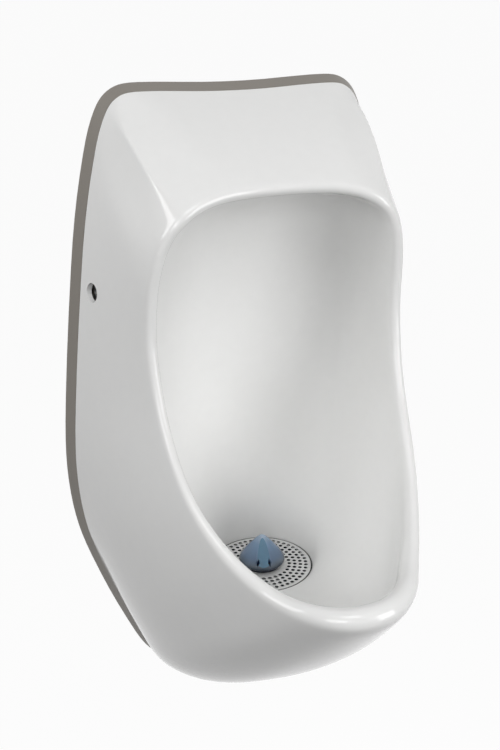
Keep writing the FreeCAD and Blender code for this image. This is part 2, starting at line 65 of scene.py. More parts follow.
SIEVE_RINGS, SIEVE_STEP, SIEVE_T, DISC_RIM = 4, 6.75, 1.1, 2.6
DISC_SIDES, SIEVE_SIDES, CONE_SIDES, SIDE_HOLE_SIDES = 144, 20, 144, 96
CONE_R, CONE_H, CONE_LIFT, CONE_WALL, COLLAR_R = 26.0, 37.8, 5.0, 1.8, 20.5
CONE_SHAPE = ((0.95, 0), (1.0, 0.045), (0.985, 0.14), (0.88, 0.28), (0.5, 0.65), (0.19, 0.915),
              (0.08, 0.98), (0, 1))
CONE_SHOULDER, CONE_TIP = 3, 5                # places in CONE_SHAPE
FACET_HALF, FACET_TURN = 17.0, -107.0         # half its angle and its bearing about the cone, degrees
FACET_BOX = (30.0, 45.0, 20.0)                # half width, height and depth of what is cut off for it
# slot cutter, from its bevel inwards: distance out of the cone, half width, height above and below
SLOT_SECTIONS = ((3.0, 5.0, 8.0, 11.2), (-1.4, 1.35, 3.6, 4.2), (-8.0, 1.35, 3.6, 4.2))
CUP_NECK_R = THROAT_R - 0.7 - 5.5 + 1.2       # inside the wall of the cartridge's cup
STATIONS = (0, 1.8, 3.6, 5, 6.2, 7.2, 8, 8.8, 9.8, 11, 12.6, 14.4, 16.2, 18, 19.8, 21.4,
            22.8, 24.2, 25.6, 27, 28.3, 29.4, 30.4, 31.2, 32)
N, LAST = len(STATIONS) - 1, STATIONS[-1]

# station, x / half width, z / half height: outline of the plate against the wall
OUTLINE = ((0, 0.0, 0.994), (2.5, 0.25, 0.997), (5, 0.50, 1.003), (6.6, 0.625, 0.994),
           (8, 0.705, 0.957), (9.4, 0.760, 0.890), (11, 0.803, 0.800), (14, 0.870, 0.600),
           (17, 0.922, 0.360), (20, 0.975, 0.055), (22, 0.994, -0.165), (24, 0.955, -0.375),
           (26, 0.845, -0.580), (28, 0.700, -0.785), (29.2, 0.590, -0.915),
           (30.3, 0.430, -0.985), (31.3, 0.19, -1.0), (32, 0.0, -1.0))
# station, x / half width, y / depth, z / half height: crest of the rolled lip
RIM = ((0, 0.0, -0.38, 0.746), (2.5, 0.16, -0.382, 0.744), (5, 0.32, -0.391, 0.737),
       (6.6, 0.435, -0.406, 0.721), (8, 0.525, -0.415, 0.691), (9.4, 0.595, -0.409, 0.643),
       (11, 0.6425, -0.395, 0.563), (14, 0.6675, -0.375, 0.429), (17, 0.671, -0.379, 0.306),
       (20, 0.66, -0.42, 0.166), (22, 0.647, -0.468, 0.077), (24, 0.612, -0.554, -0.037),
       (26, 0.524, -0.67, -0.143), (28, 0.392, -0.799, -0.212), (30, 0.2315, -0.924, -0.226),
       (31, 0.119, -0.967, -0.226), (32, 0.0, -0.98, -0.226))
# station, lip radius, where the roll starts (degrees), how far the opening tips up (degrees)
ROLL = ((0, 0, 7.0, 38, 0), (8, 0, 7.0, 20, 0), (14, 0, 7.0, 22, 5), (20, 0, 6.5, 18, 30),
        (24, 0, 6.3, 5, 50), (28, 0, 9.5, -16, 62), (32, 0, 14.0, -30, 64))
# station, outward and forward pull on the skin near the plate, then near the lip
BELLY = ((0, 0, 2, 0, 4, 0), (8, 0, 2, 0, 8, 0), (12, 0, 2, 0, 8, 0), (16, 0, 2, 0, 4, 0),
         (20, 0, 4, 0, 4, 0), (24, 0, 14, 6, 12, 4), (28, 0, 49, 6, 21, 8), (32, 0, 80, 4, 34, 14))
# station, x / half width, y / depth, z / half height: the basin's back and floor guides
DEEP1 = ((0, 0.0, -0.029, 0.749), (5, 0.32, -0.034, 0.737), (8, 0.54, -0.051, 0.651),
         (11, 0.62, -0.069, 0.471), (14, 0.625, -0.085, 0.314), (17, 0.62, -0.12, 0.157),
         (20, 0.605, -0.187, 0.0), (22, 0.585, -0.273, -0.114), (24, 0.545, -0.403, -0.229),
         (26, 0.48, -0.562, -0.329), (28, 0.375, -0.724, -0.4), (30, 0.215, -0.875, -0.429),
         (32, 0.0, -0.938, -0.434))
DEEP2 = ((0, 0.0, -0.045, 0.257), (5, 0.2, -0.048, 0.229), (8, 0.31, -0.054, 0.157),
         (11, 0.39, -0.069, 0.029), (14, 0.44, -0.091, -0.114), (17, 0.47, -0.128, -0.257),
         (20, 0.48, -0.187, -0.357), (22, 0.48, -0.256, -0.409), (24, 0.46, -0.347, -0.443),
         (26, 0.41, -0.449, -0.463), (28, 0.32, -0.54, -0.48), (30, 0.18, -0.602, -0.491),
         (32, 0.0, -0.625, -0.494))
RIDGE, CORNER, RIDGE_PULL = 0.3, (5, 8, 11), (1.0, 0.84, 0.42)
ROLL_CORE = 3.0                               # least radius that stays inside the rolled lip
LIP_ROWS, LIP_EASE = (5, 11), 1.5             # rows in which the lip bounds the wall's thickness
SKIN_STEPS = (0, .07, .18, .32, .48, .64, .79, .92)
ROLL_STEPS = 5
BASIN_STEPS = (.08, .20, .36, .54, .72, .88, 1)


# ------------------------------------------------------------------ camera
CAMERA_AT, CAMERA_DOWN, CAMERA_TURN = (-0.402, -1.034, 0.470), 22.07, -22.25
LENS, SENSOR = 49.92, 36.0


def make_camera():
    """The photograph's own view, as solved from the outline, the lip and the strainer."""
    data = bpy.data.cameras.new("camera")
    data.lens, data.sensor_width = LENS, SENSOR
    cam = bpy.data.objects.new("camera", data)
    cam.location = CAMERA_AT
    cam.rotation_euler = (radians(90 - CAMERA_DOWN), 0, radians(CAMERA_TURN))
    bpy.context.scene.collection.objects.link(cam)
    bpy.context.scene.camera = cam


# ------------------------------------------------------------------ mesh helpers
def new_object(name, verts, faces, body, material):
    """Smooth mesh that rides on a body and carries a slot's material."""
    me = bpy.data.meshes.new(name)
    me.from_pydata([tuple(v) for v in verts], [], faces)
    me.update()
    ob = bpy.data.objects.new(name, me)
    bpy.context.scene.collection.objects.link(ob)
    me.materials.append(material)
    me.polygons.foreach_set("use_smooth", [True] * len(me.polygons))
    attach(ob, body)
    return ob


def grid_faces(rows, cols, close_rows=False):
    """Quads of a grid that is closed around its columns."""
    out = []
    for j in range(rows if close_rows else rows - 1):
        a, b = j * cols, ((j + 1) % rows) * cols
        for i in range(cols):
            k = (i + 1) % cols
            out.append((a + i, a + k, b + k, b + i))
    return out


# ------------------------------------------------------------------ the bowl's surface
def station(tab, s):
    """Smooth values at one station, mirrored at both ends so halves join smoothly."""
    rows = [(-tab[1][0], -tab[1][1]) + tab[1][2:]] + list(tab)
    rows.append((2 * tab[-1][0] - tab[-2][0], -tab[-2][1]) + tab[-2][2:])
    k = 1
    while k < len(rows) - 3 and s > rows[k + 1][0]:
        k += 1
    a, b = rows[k], rows[k + 1]
    h = b[0] - a[0]
    t = (s - a[0]) / h
    out = []
    for c in range(1, len(a)):
        def slope(p, q, r):
            h0, h1 = q[0] - p[0], r[0] - q[0]
            return ((q[c] - p[c]) / h0 * h1 + (r[c] - q[c]) / h1 * h0) / (h0 + h1) * h
        m0, m1 = slope(rows[k - 1], a, b), slope(a, b, rows[k + 2])
        out.append((2 * t**3 - 3 * t**2 + 1) * a[c] + (t**3 - 2 * t**2 + t) * m0
                   + (3 * t**2 - 2 * t**3) * b[c] + (t**3 - t**2) * m1)
    return out


def both(half):
    """A ring from its right half, the left one mirrored."""
    return list(half) + [Vector((-p.x, p.y, p.z)) for p in half[-2:0:-1]]


def around(pts, i):
    """Direction along a ring at one point."""
    return (pts[(i + 1) % len(pts)] - pts[i - 1]).normalized()


def outline(inset, y):
    """The plate's outline at depth y, drawn in by inset."""
    pts = both([Vector((HW * x, y, HH * z)) for x, z in (station(OUTLINE, s) for s in STATIONS)])
    return [p + Vector((around(pts, i).z, 0, -around(pts, i).x)) * inset for i, p in enumerate(pts)]


def circle_ring(r, z):
    """Round ring about the trap's axis, with a point for each station."""
    return both([Vector((r * sin(pi * s / LAST), TRAP_Y + r * cos(pi * s / LAST), z)) for s in STATIONS])


def bez(p, t):
    """Point of a cubic curve."""
    s = 1 - t
    return p[0] * s**3 + p[1] * (3 * s * s * t) + p[2] * (3 * s * t * t) + p[3] * t**3


def meet(p, u, q, v):
    """Point nearest to two lines."""
    w = p - q
    a, b, c, d, e = u.dot(u), u.dot(v), v.dot(v), u.dot(w), v.dot(w)
    k = a * c - b * b
    return ((p + u * ((b * e - c * d) / k)) + (q + v * ((a * e - b * d) / k))) * 0.5


def bowl_rows():
    """Rings of points on the visible sheet, from the plate over the lip down to the throat."""
    back = outline(PLATE_TAPER, BACK_Y)
    crest = both([Vector((HW * x, DEPTH * y, HH * z)) for x, y, z in (station(RIM, s) for s in STATIONS)])
    seat = circle_ring(THROAT_R, TRAP_Z)
    cols = []
    for i in range(2 * N):
        k = STATIONS[min(i, 2 * N - i)]
        side = -1 if i > N else 1
        _, r, start, tip = station(ROLL, k)
        _, b0, f0, b1, f1 = station(BELLY, k)
        t = around(crest, i)
        nose = Vector((0, -cos(radians(tip)), sin(radians(tip))))
        nose = (nose - t * nose.dot(t)).normalized()
        out = nose.cross(t).normalized()
        mid = crest[i] - nose * r
        tb = around(back, i)
        away = Vector((-tb.z, 0, tb.x))
        p0 = back[i]
        p3 = mid + (out * cos(radians(start)) + nose * sin(radians(start))) * r
        c = (p3 - p0) / 3.0
        hull = (p0, p0 + c + away * b0 + Vector((0, -f0, 0)), p3 - c + away * b1 + Vector((0, -f1, 0)), p3)
        col = [bez(hull, s) for s in SKIN_STEPS]
        for s in range(ROLL_STEPS):
            a = radians(start + (180 - start) * s / (ROLL_STEPS - 1.0))
            col.append(mid + (out * cos(a) + nose * sin(a)) * (r * 1.04))
        g = [Vector((side * HW * x, DEPTH * y, HH * z)) for x, y, z in (station(DEEP1, k), station(DEEP2, k))]
        hull = (mid - out * r, g[0], g[1], seat[i])
        col += [bez(hull, s) for s in BASIN_STEPS]
        cols.append(col)
    rows = [[c[j] for c in cols] for j in range(len(cols[0]))]
    start, mid, end = (STATIONS.index(c) for c in CORNER)
    for row, f in list(zip(rows, SKIN_STEPS))[1:]:
        fade = min(1.0, 4.0 * f, 3.0 * (1 - f))
        for mirror in (1, -1):
            def at(k):
                return row[(mirror * k) % (2 * N)]
            a, b = at(start), at(end)
            tip = meet(a, a - at(start - 1), b, b - at(end + 1))
            tip = at(mid) + (tip - at(mid)) * (RIDGE * (1 - f) ** 0.7 * fade)
            for k in range(start + 1, end):
                w = RIDGE_PULL[abs(k - mid)]
                goal = (a if k < mid else b) * (1 - w) + tip * w
                row[(mirror * k) % (2 * N)] = at(k) + (goal - at(k)) * fade
    return rows


def through(row):
    """Control points of the closed cubic that passes through a ring."""
    ring = np.array([tuple(p) for p in row])
    out = ring.copy()
    for _ in range(8):
        out = out + ring - (np.roll(out, 1, 0) + out * 4 + np.roll(out, -1, 0)) / 6.0
    return out


def closed_basis(n, fine):
    """Weights of a closed uniform cubic, with fine samples in every span."""
    w = np.zeros((n * fine, n))
    for k in range(n * fine):
        i, t = divmod(k, fine)
        t /= fine
        for d, b in zip((-1, 0, 1, 2), ((1 - t)**3, 3 * t**3 - 6 * t**2 + 4,
                                        -3 * t**3 + 3 * t**2 + 3 * t + 1, t**3)):
            w[k, (i + d) % n] += b / 6.0
    return w


def clamped_basis(m, fine):
    """Weights of a clamped cubic through m rows."""
    knots = [0] * 3 + list(range(m - 2)) + [m - 3] * 3
    us = np.linspace(0, m - 3, (m - 3) * fine + 1)
    w = np.zeros((len(us), m))
    for a, u in enumerate(us):
        u = min(u, m - 3 - 1e-9)
        b = np.array([1.0 if knots[i] <= u < knots[i + 1] else 0.0 for i in range(len(knots) - 1)])
        for d in range(1, 4):
            c = np.zeros(len(b) - 1)
            for i in range(len(c)):
                if knots[i + d] > knots[i]:
                    c[i] += (u - knots[i]) / (knots[i + d] - knots[i]) * b[i]
                if knots[i + d + 1] > knots[i + 1]:
                    c[i] += (knots[i + d + 1] - u) / (knots[i + d + 1] - knots[i + 1]) * b[i + 1]
            b = c
        w[a] = b
    return w


FINE_ROWS, FINE_COLS = 7, 8


def bowl_grid():
    """Dense grid of the visible sheet, rows from the plate to the throat, and its outward normals."""
    poles = np.array([through(r) for r in bowl_rows()])
    grid = np.einsum("am,bn,mnc->abc", clamped_basis(len(poles), FINE_ROWS),
                     closed_basis(2 * N, FINE_COLS), poles)
    du = np.gradient(grid, axis=0)
    dv = np.roll(grid, -1, 1) - np.roll(grid, 1, 1)
    nv = np.cross(dv, du)
    nv /= np.linalg.norm(nv, axis=2)[..., None]
    if nv[len(nv) // 6, nv.shape[1] // 4, 0] < 0:
        nv = -nv
    return grid, nv


def ring_at(r, z, count):
    """Round ring whose points stand opposite the fine grid's columns."""
    turns = np.interp(np.arange(count) / FINE_COLS, np.arange(2 * N + 1),
                      [pi * s / LAST for s in STATIONS] + [2 * pi - pi * s / LAST for s in STATIONS[-2::-1]])
    return np.stack([r * np.sin(turns), TRAP_Y + r * np.cos(turns), np.full(count, z)], 1)


def bowl_mesh():
    """Points of the closed bowl: the visible sheet, the throat's foot and the hidden sheet."""
    grid, nv = bowl_grid()
    cols = grid.shape[1]
    radii = [station(ROLL, s)[1] for s in STATIONS]
    lip = np.repeat(np.array(radii + radii[-2:0:-1]), FINE_COLS)
    first, last = (k * FINE_ROWS for k in LIP_ROWS)
    rows = np.arange(len(grid))
    near = np.clip(np.minimum(rows - first, last - rows) / (LIP_EASE * FINE_ROWS), 0, 1)[:, None]
    wall = SKIN_T + (np.minimum(SKIN_T, lip - ROLL_CORE) - SKIN_T)[None, :] * near
    hidden = grid - nv * wall[..., None]
    hidden[0, :, 1] = BACK_Y
    neck_z = TRAP_Z - SKIN_T - 1.0
    hidden = hidden[:-FINE_ROWS // 2]
    neck_r = THROAT_R + THROAT_WALL
    foot = [ring_at(r, z, cols) for r, z in (
        (THROAT_R, FOOT_Z), (FLANGE_R, FOOT_Z), (FLANGE_R, FOOT_Z + FLANGE_T),
        (neck_r, FOOT_Z + FLANGE_T), (neck_r, neck_z))]
    loops = np.concatenate([grid, foot, hidden[::-1]])
    return loops.reshape(-1, 3) * MM, len(loops), cols, grid, nv


def cut_with(ob, verts, faces):
    """Takes a closed mesh out of ob."""
    me = bpy.data.meshes.new("cutter")
    me.from_pydata([tuple(v) for v in verts], [], faces)
    bm = bmesh.new()
    bm.from_mesh(me)
    bmesh.ops.recalc_face_normals(bm, faces=bm.faces)
    bm.to_mesh(me)
    bm.free()
    cutter = bpy.data.objects.new("cutter", me)
    bpy.context.scene.collection.objects.link(cutter)
    mod = ob.modifiers.new("cut", "BOOLEAN")
    mod.operation, mod.solver, mod.object = "DIFFERENCE", "EXACT", cutter
    dg = bpy.context.evaluated_depsgraph_get()
    dg.update()
    done = bpy.data.meshes.new_from_object(ob.evaluated_get(dg))
    ob.modifiers.clear()
    old = ob.data
    ob.data = done
    bpy.data.meshes.remove(old)
    bpy.data.objects.remove(cutter)
    bpy.data.meshes.remove(me)


def solid_cylinder(centre, r, length, sides):
    """Closed cylinder, from centre along +X."""
    verts = []
    for h in (0, length):
        for i in range(sides):
            a = 2 * pi * i / sides
            verts.append([(c + q) * MM for c, q in zip(centre, (h, r * cos(a), r * sin(a)))])
    faces = grid_faces(2, sides) + [tuple(range(sides))[::-1], tuple(range(sides, 2 * sides))]
    return verts, faces


ON_SHEET, SAME_SIDE = 0.0002, 0.7             # metres from the smooth sheet; cosine between normals


def smooth_like(ob, grid, nv):
    """Gives the cut mesh the smooth sheet's own normals, so the holes leave no mark in the gloss."""
    rows, cols = grid.shape[:2]
    pts = [Vector(p) for p in grid.reshape(-1, 3) * MM]
    cells = grid_faces(rows, cols)
    tree = BVHTree.FromPolygons(pts, cells)
    flat = nv.reshape(-1, 3)
    me = ob.data
    me.polygons.foreach_set("use_smooth", [True] * len(me.polygons))
    normals = [None] * len(me.loops)
    for p in me.polygons:
        for li in p.loop_indices:
            co = me.vertices[me.loops[li].vertex_index].co
            _, _, face, dist = tree.find_nearest(co)
            n = p.normal
            if dist < ON_SHEET:
                ids = cells[face]
                w = [1.0 / ((pts[k] - co).length + 1e-7) for k in ids]
                m = Vector(sum((flat[k] * v for k, v in zip(ids, w)), np.zeros(3))).normalized()
                if m.dot(p.normal) > SAME_SIDE:
                    n = m
            normals[li] = n
    me.normals_split_custom_set(normals)


def make_bowl(material):
    """The moulding, with its two side holes."""
    verts, rows, cols, grid, nv = bowl_mesh()
    ob = new_object("bowl", verts, grid_faces(rows, cols, True), "bowl", material)
    bm = bmesh.new()
    bm.from_mesh(ob.data)
    bmesh.ops.recalc_face_normals(bm, faces=bm.faces)
    bm.to_mesh(ob.data)
    bm.free()
    near, reach = LUG_X + 2.0, 60.0
    for start in (-near - reach, near):
        cut_with(ob, *solid_cylinder((start, LOCK_Y, LOCK_Z), HOLE_R, reach, SIDE_HOLE_SIDES))
    smooth_like(ob, grid, nv)
    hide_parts("bowl_shell")
    return ob


# ------------------------------------------------------------------ strainer and cone
def ring_of(centre, r, z, sides):
    """Points of a level circle, in metres."""
    turns = [2 * pi * i / sides for i in range(sides)]
    return [Vector((centre[0] + r * cos(a), centre[1] + r * sin(a), z)) * MM for a in turns]


def tidy_normals(ob, sharp):
    """Joins doubled points, turns all faces outward and keeps edges over this angle sharp."""
    bm = bmesh.new()
    bm.from_mesh(ob.data)
    bmesh.ops.remove_doubles(bm, verts=bm.verts, dist=1e-6)
    bmesh.ops.recalc_face_normals(bm, faces=bm.faces)
    bm.to_mesh(ob.data)
    bm.free()
    ob.data.polygons.foreach_set("use_smooth", [True] * len(ob.data.polygons))
    ob.data.set_sharp_from_angle(angle=radians(sharp))


def make_strainer(material):
    """Flat disc with rings of round holes whose edges are eased, thinner inside its rim."""
    centre, edge = (0, TRAP_Y), 0.35
    loops = [(centre, DISC_R, DISC_SIDES, -1)]
    for k in range(SIEVE_RINGS):
        r = FIRST_RING_R + k * SIEVE_PITCH
        count = int(round(2 * pi * r / SIEVE_STEP))
        for m in range(count):
            a = 2 * pi * m / count
            loops.append(((r * sin(a), TRAP_Y + r * cos(a)), SIEVE_R, SIEVE_SIDES, 1))
    eased = ((edge, 0), (0.3 * edge, 0.3 * edge), (0, edge))
    rim = ((0, DISC_T), (DISC_RIM, DISC_T), (DISC_RIM, SIEVE_T))
    verts, faces, top, low = [], [], [], []
    for at, r, sides, sign in loops:
        first = len(verts)
        levels = eased + (rim if sign < 0 else ((0, SIEVE_T),))
        for back, depth in levels:
            verts += ring_of(at, r + sign * back, TRAP_Z - depth, sides)
        for j in range(len(levels) - 1):
            a = first + j * sides
            for i in range(sides):
                k = (i + 1) % sides
                faces.append((a + i, a + k, a + sides + k, a + sides + i))
        top.append(range(first, first + sides))
        low.append(range(len(verts) - sides, len(verts)))
    for face in (top, low):
        flat = [i for loop in face for i in loop]
        rings = [[verts[i] for i in loop] for loop in face]
        faces += [tuple(flat[i] for i in tri) for tri in tessellate_polygon(rings)]
    ob = new_object("strainer", verts, faces, "trap", material)
    tidy_normals(ob, 35)
    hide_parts("strainer_disc")
    return ob


def smooth_profile(pts, steps):
    """Points of a rounded curve through a profile."""
    pts = [Vector(p) for p in pts]
    ends = [pts[0] * 2 - pts[1]] + pts + [Vector((-pts[-2].x, pts[-2].y))]
    out = []
    for k in range(1, len(ends) - 2):
        p0, p1, p2, p3 = ends[k - 1:k + 3]
        h0, h1, h2 = (p1 - p0).length**0.5, (p2 - p1).length**0.5, (p3 - p2).length**0.5
        m1 = ((p1 - p0) / h0 - (p2 - p0) / (h0 + h1) + (p2 - p1) / h1) * h1
        m2 = ((p2 - p1) / h1 - (p3 - p1) / (h1 + h2) + (p3 - p2) / h2) * h1
        for s in range(steps):
            t = s / steps
            out.append(p1 * (2 * t**3 - 3 * t**2 + 1) + m1 * (t**3 - 2 * t**2 + t)
                       + p2 * (3 * t**2 - 2 * t**3) + m2 * (t**3 - t**2))
    return out + [pts[-1]]


def turned_mesh(profile, sides):
    """Closed mesh of (radius, height) points about the trap's axis; a radius of nothing is one point."""
    turns = [2 * pi * i / sides for i in range(sides)]
    verts, rings = [], []
    for r, h in profile:
        count = 1 if r < 1e-4 else sides
        rings.append(range(len(verts), len(verts) + count))
        verts += [Vector((r * cos(a), TRAP_Y + r * sin(a), h)) * MM for a in turns[:count]]
    faces = []
    for a, b in zip(rings, rings[1:] + rings[:1]):
        for i in range(sides):
            k = (i + 1) % sides
            quad = [a[i % len(a)], a[k % len(a)], b[k % len(b)], b[i % len(b)]]
            face = [v for n, v in enumerate(quad) if v != quad[n - 1]]
            if len(set(face)) > 2:
                faces.append(face)
    return verts, faces


def facet_frame(turn):
    """Axes at one bearing about the trap: outward, sideways and up."""
    out = Vector((cos(radians(turn)), sin(radians(turn)), 0))
    return out, Vector((-out.y, out.x, 0)), Vector((0, 0, 1))


BOX_FACES = [(3, 2, 1, 0), (4, 5, 6, 7), (0, 1, 5, 4), (1, 2, 6, 5), (2, 3, 7, 6), (3, 0, 4, 7)]


def make_cone(material):
    """Hollow cap with a flat facet between two creases, each ending in a bevelled diamond slot."""
    z, h, w = TRAP_Z + CONE_LIFT, CONE_H - CONE_LIFT, CONE_WALL
    outer = [(CONE_R * r, z + h * u) for r, u in smooth_profile(CONE_SHAPE, 7)]
    inner = [(CONE_R * r - w, z + h * u - 0.5 * w) for r, u in CONE_SHAPE[CONE_TIP:1:-1]]
    foot = [(inner[-1][0], z + 2.0), (COLLAR_R - 4.0, z + 2.0), (COLLAR_R - 4.0, z)]
    verts, faces = turned_mesh(outer + [(0, z + h - 1.5 * w)] + inner + foot, CONE_SIDES)
    ob = new_object("cone", verts, faces, "trap", material)
    tidy_normals(ob, 30)
    (r0, z0), (r1, z1) = ((CONE_R * CONE_SHAPE[k][0], z + h * CONE_SHAPE[k][1])
                          for k in (CONE_SHOULDER, CONE_TIP))
    slope = (r0 - r1) / (z1 - z0)
    lean = slope * cos(radians(FACET_HALF))
    out, side, up = facet_frame(FACET_TURN)
    at = Vector((0, TRAP_Y, z0)) + out * (r0 * cos(radians(FACET_HALF)))
    rise, away = (up - out * lean).normalized(), (out + up * lean).normalized()
    half, high, deep = FACET_BOX
    box = [at + side * (half * a) + rise * (high * b) + away * (deep * c)
           for c in (0, 1) for a, b in ((-1, -0.4), (1, -0.4), (1, 1), (-1, 1))]
    cut_with(ob, [v * MM for v in box], BOX_FACES)
    for sgn in (-1, 1):
        out, side, up = facet_frame(FACET_TURN + sgn * FACET_HALF)
        rise, away = (up - out * slope).normalized(), (out + up * slope).normalized()
        at = Vector((0, TRAP_Y, z0)) + out * r0
        rings = []
        for depth, wide, high, low in SLOT_SECTIONS:
            c = at + away * depth
            rings += [c + side * wide, c + rise * high, c - side * wide, c - rise * low]
        cut_with(ob, [v * MM for v in rings], grid_faces(3, 4) + [(3, 2, 1, 0), (8, 9, 10, 11)])
    tidy_normals(ob, 7)
    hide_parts("trap_cone")
    return ob


# ------------------------------------------------------------------ materials
# height in the cone, from 0 to 1, and its colour there: dark at the foot as painted shade, the cone's own
# blue in the middle, pale at the tip as painted light; the two ends come first
CONE_BLUE_SHADE_AND_LIGHT = ((0.0, (0.012, 0.02, 0.045)), (1.0, (0.42, 0.54, 0.68)), (0.05, (0.06, 0.08, 0.11)),
              (0.16, (0.13, 0.17, 0.22)), (0.34, (0.15, 0.23, 0.36)), (0.75, (0.21, 0.34, 0.52)))
# painted shade on the facet: darker blue-green where the surface faces the facet's way
FACET_PAINTED_SHADE = (0.07, 0.21, 0.34)
FACET_LEAN = (0.76, 0.65)                     # outward and upward share of the facet's normal
FACET_EDGE = (0.985, 0.999)                   # cosine to that normal, from none of the facet's painted shade to all of it
CONE_TINT = 1.12                              # how much lighter the noise makes the cone
PAINTED_SHADE = (0.012, 0.016, 0.022)                 # painted shade in the strainer's holes and inside the cup, where they lie in shadow
SOFT_EDGE = 0.2                               # half the width over which the painted shade begins


def material(name, colour, rough, coat=0.0, metal=0.0, scale=300.0, bump=0.02, vary=0.03, **more):
    """Moulded or plain surface: slight unevenness of colour, gloss and height from noise."""
    m = bpy.data.materials.new(name)
    m.use_nodes = True
    nt = m.node_tree
    bsdf = nt.nodes["Principled BSDF"]
    bsdf.inputs["Roughness"].default_value = rough
    bsdf.inputs["Metallic"].default_value = metal
    bsdf.inputs["Coat Weight"].default_value = coat
    bsdf.inputs["Coat Roughness"].default_value = 0.05
    for key, value in more.items():
        bsdf.inputs[key.replace("_", " ")].default_value = value
    at = nt.nodes.new("ShaderNodeTexCoord")
    noise = nt.nodes.new("ShaderNodeTexNoise")
    noise.inputs["Scale"].default_value = scale
    noise.inputs["Detail"].default_value = 4.0
    nt.links.new(at.outputs["Object"], noise.inputs["Vector"])
    ramp = nt.nodes.new("ShaderNodeValToRGB")
    ramp.color_ramp.elements[0].position, ramp.color_ramp.elements[1].position = 0.3, 0.7
    ramp.color_ramp.elements[0].color = [c * (1 - vary) for c in colour] + [1]
    ramp.color_ramp.elements[1].color = [min(1.0, c * (1 + vary)) for c in colour] + [1]
    nt.links.new(noise.outputs["Fac"], ramp.inputs["Fac"])
    nt.links.new(ramp.outputs["Color"], bsdf.inputs["Base Color"])
    span = nt.nodes.new("ShaderNodeMapRange")
    span.inputs["To Min"].default_value = rough * 0.85
    span.inputs["To Max"].default_value = rough * 1.15
    nt.links.new(noise.outputs["Fac"], span.inputs["Value"])
    nt.links.new(span.outputs["Result"], bsdf.inputs["Roughness"])
    if bump:
        b = nt.nodes.new("ShaderNodeBump")
        b.inputs["Strength"].default_value = bump
        b.inputs["Distance"].default_value = 0.0005
        nt.links.new(noise.outputs["Fac"], b.inputs["Height"])
        nt.links.new(b.outputs["Normal"], bsdf.inputs["Normal"])
    return m


def mixed(nt, factor, first, second):
    """Colour between two, by a socket's value; each is a socket or plain numbers."""
    mix = nt.nodes.new("ShaderNodeMix")
    mix.data_type, mix.clamp_factor = "RGBA", True
    nt.links.new(factor, mix.inputs["Factor"])
    for key, value in (("A", first), ("B", second)):
        sock = [i for i in mix.inputs if i.name == key and i.type == "RGBA"][0]
        if isinstance(value, tuple):
            sock.default_value = (*value, 1)
        else:
            nt.links.new(value, sock)
    return [o for o in mix.outputs if o.type == "RGBA"][0]


def ranged(nt, socket, low, high):
    """A socket's value from low to high, as 0 to 1."""
    span = nt.nodes.new("ShaderNodeMapRange")
    span.inputs["From Min"].default_value, span.inputs["From Max"].default_value = low, high
    nt.links.new(socket, span.inputs["Value"])
    return span.outputs["Result"]


def noise_of(nt):
    """The noise that a material already has."""
    return next(n for n in nt.nodes if n.type == "TEX_NOISE").outputs["Fac"]


def tinted(nt, colour):
    """The same colour, a little lighter."""
    tint = nt.nodes.new("ShaderNodeHueSaturation")
    tint.inputs["Value"].default_value = CONE_TINT
    nt.links.new(colour, tint.inputs["Color"])
    return tint.outputs["Color"]


def paint_cone_shade_and_light(m):
    """Painted shade dark at the foot, its own blue in the middle and painted light pale at the tip, with
    painted shade in blue-green on the facet.
    """
    nt = m.node_tree
    bsdf = nt.nodes["Principled BSDF"]
    at, axes = nt.nodes.new("ShaderNodeTexCoord"), nt.nodes.new("ShaderNodeSeparateXYZ")
    nt.links.new(at.outputs["Object"], axes.inputs[0])
    ramp = nt.nodes.new("ShaderNodeValToRGB")
    foot = (TRAP_Z + CONE_LIFT) * MM
    nt.links.new(ranged(nt, axes.outputs["Z"], foot, foot + (CONE_H - CONE_LIFT) * MM), ramp.inputs["Fac"])
    for k, (place, colour) in enumerate(CONE_BLUE_SHADE_AND_LIGHT):
        e = ramp.color_ramp.elements[k] if k < 2 else ramp.color_ramp.elements.new(place)
        e.position, e.color = place, (*colour, 1)
    face, dot = nt.nodes.new("ShaderNodeNewGeometry"), nt.nodes.new("ShaderNodeVectorMath")
    dot.operation = "DOT_PRODUCT"
    out = facet_frame(FACET_TURN)[0]
    dot.inputs[1].default_value = (out.x * FACET_LEAN[0], out.y * FACET_LEAN[0], FACET_LEAN[1])
    nt.links.new(face.outputs["True Normal"], dot.inputs[0])
    # painted shade: the facet, picked out by its normal, turns dark blue-green
    facet_shaded = mixed(nt, ranged(nt, dot.outputs["Value"], *FACET_EDGE), ramp.outputs["Color"], FACET_PAINTED_SHADE)
    nt.links.new(mixed(nt, noise_of(nt), facet_shaded, tinted(nt, facet_shaded)), bsdf.inputs["Base Color"])


def paint_shade_inside(m, radius, top, colour):
    """Painted shade where the surface lies nearer than radius to the trap's axis, and below top."""
    nt = m.node_tree
    bsdf = nt.nodes["Principled BSDF"]
    unshaded = bsdf.inputs["Base Color"].links[0].from_socket
    at, axes = nt.nodes.new("ShaderNodeTexCoord"), nt.nodes.new("ShaderNodeSeparateXYZ")
    away = nt.nodes.new("ShaderNodeVectorMath")
    away.operation = "SUBTRACT"
    away.inputs[1].default_value = (0, TRAP_Y * MM, 0)
    nt.links.new(at.outputs["Object"], away.inputs[0])
    nt.links.new(at.outputs["Object"], axes.inputs[0])
    flat, size = nt.nodes.new("ShaderNodeVectorMath"), nt.nodes.new("ShaderNodeVectorMath")
    flat.operation, size.operation = "MULTIPLY", "LENGTH"
    flat.inputs[1].default_value = (1, 1, 0)
    nt.links.new(away.outputs[0], flat.inputs[0])
    nt.links.new(flat.outputs[0], size.inputs[0])
    most = nt.nodes.new("ShaderNodeMath")
    most.operation = "MAXIMUM"
    span = (radius - SOFT_EDGE) * MM, (radius + SOFT_EDGE) * MM
    nt.links.new(ranged(nt, size.outputs["Value"], *span), most.inputs[0])
    nt.links.new(ranged(nt, axes.outputs["Z"], (top - 0.1) * MM, (top + 0.1) * MM), most.inputs[1])
    nt.links.new(mixed(nt, most.outputs[0], colour, unshaded), bsdf.inputs["Base Color"])


